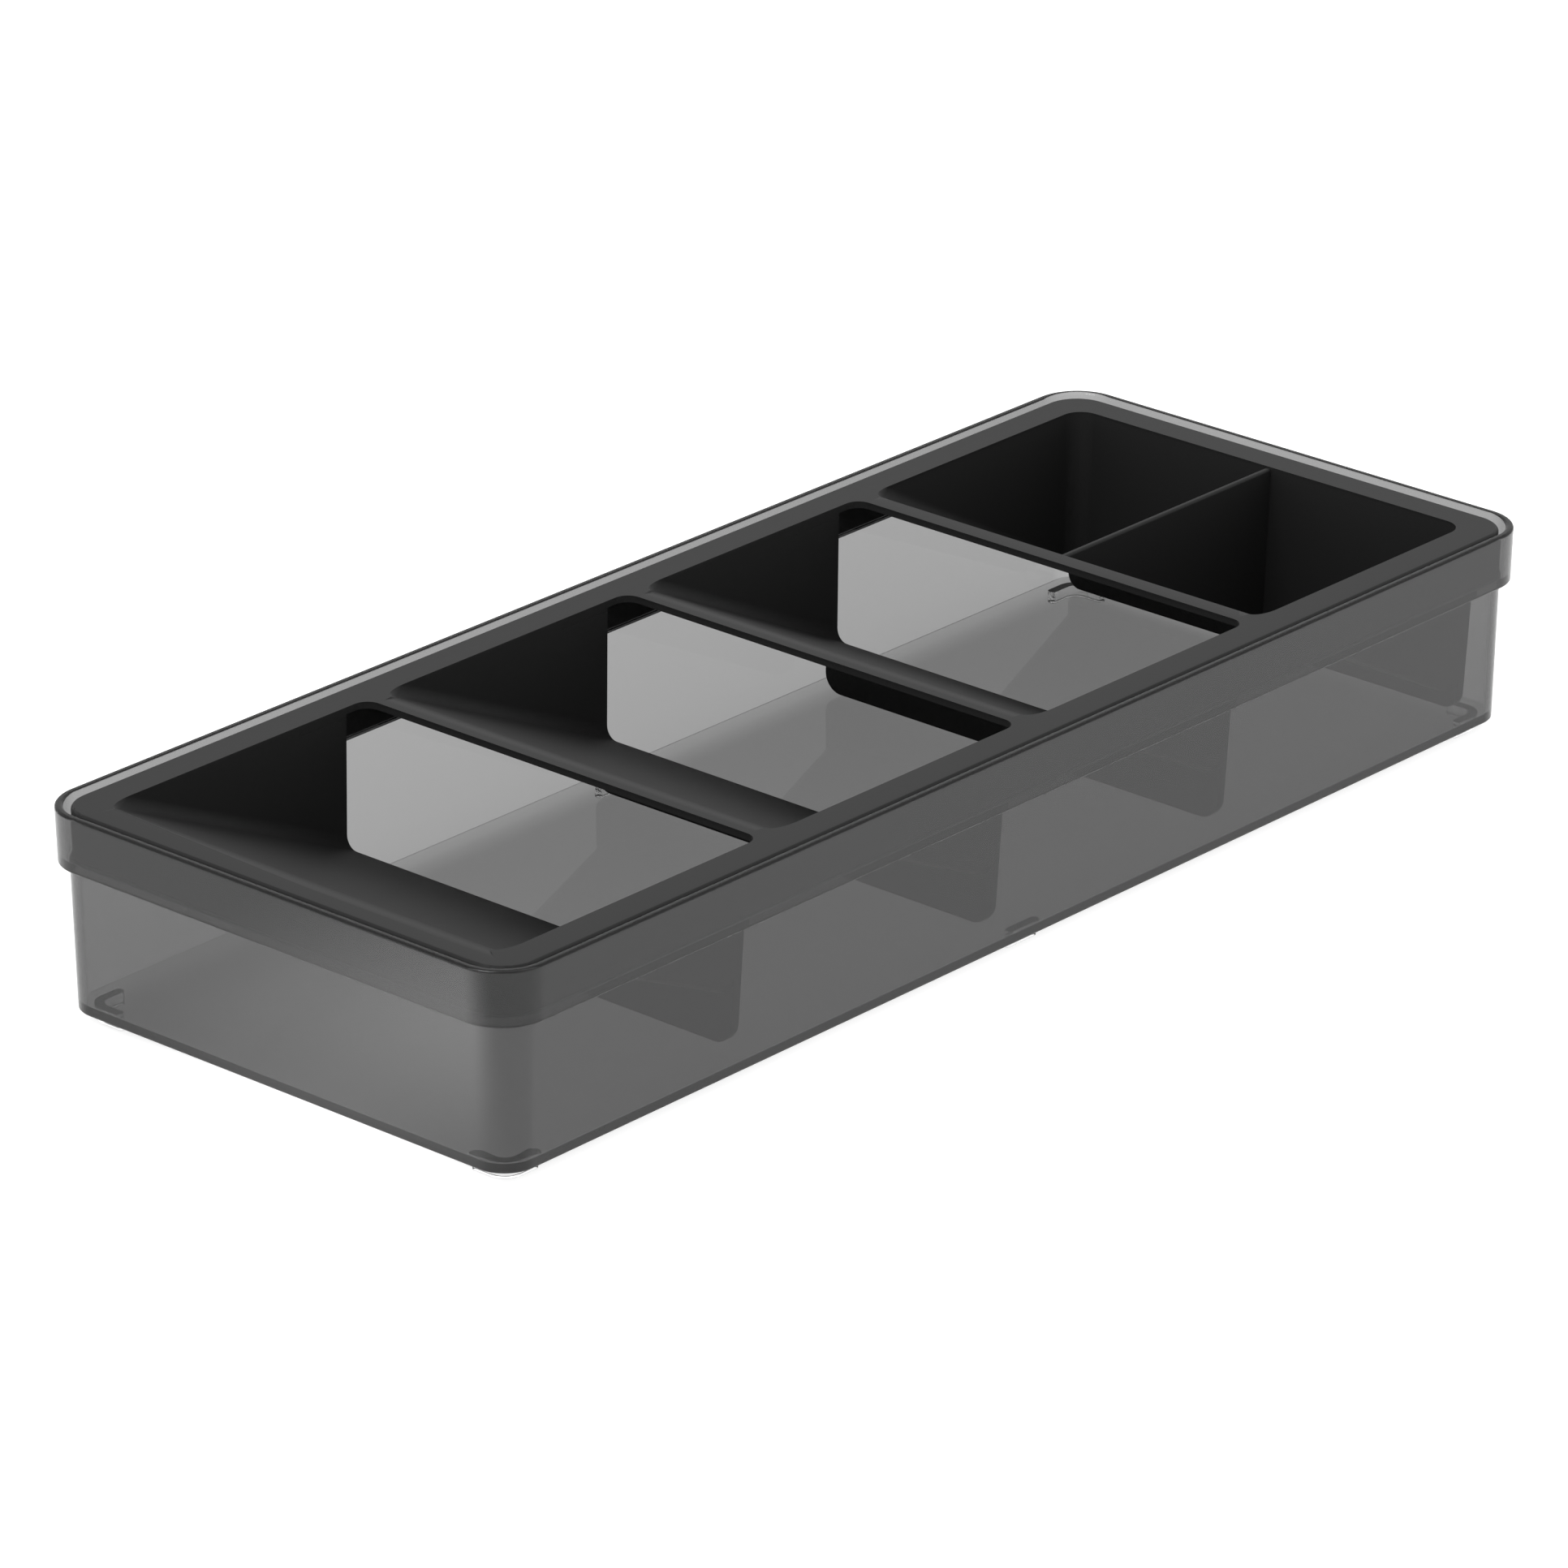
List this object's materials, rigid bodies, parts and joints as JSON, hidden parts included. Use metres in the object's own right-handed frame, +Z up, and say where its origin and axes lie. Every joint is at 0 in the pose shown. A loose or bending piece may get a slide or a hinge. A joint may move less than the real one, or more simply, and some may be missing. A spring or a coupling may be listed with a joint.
{
  "type": "drawer organiser",
  "caption": "Long low organiser: clear smoked tray on soft feet with a lift-out black insert of ramped scoops and a closed end row split by a divider.",
  "frame": {"origin": "centre of the footprint, on the surface the feet stand on", "axes": "+Z up, +Y along the long side from the front short wall (where the first scoop starts) to the closed end row, +X across"},
  "size_m": [0.1508, 0.375, 0.055],
  "materials": {
    "smoked_clear": "clear smoked grey, polished",
    "matte_black": "fine matt mould texture",
    "soft_clear": "nearly clear soft plastic"
  },
  "bodies": {
    "tray": {"outer_tray": "smoked_clear", "foot_front_left": "soft_clear", "foot_front_right": "soft_clear", "foot_back_left": "soft_clear", "foot_back_right": "soft_clear", "foot_middle_left": "soft_clear", "foot_middle_right": "soft_clear"},
    "insert": {"insert_tray": "matte_black"}
  },
  "joints": [
    {"name": "insert_lift", "type": "slide", "parent": "tray", "child": "insert", "axis": [0, 0, 1], "range_m": [0, 0.07]}
  ]
}
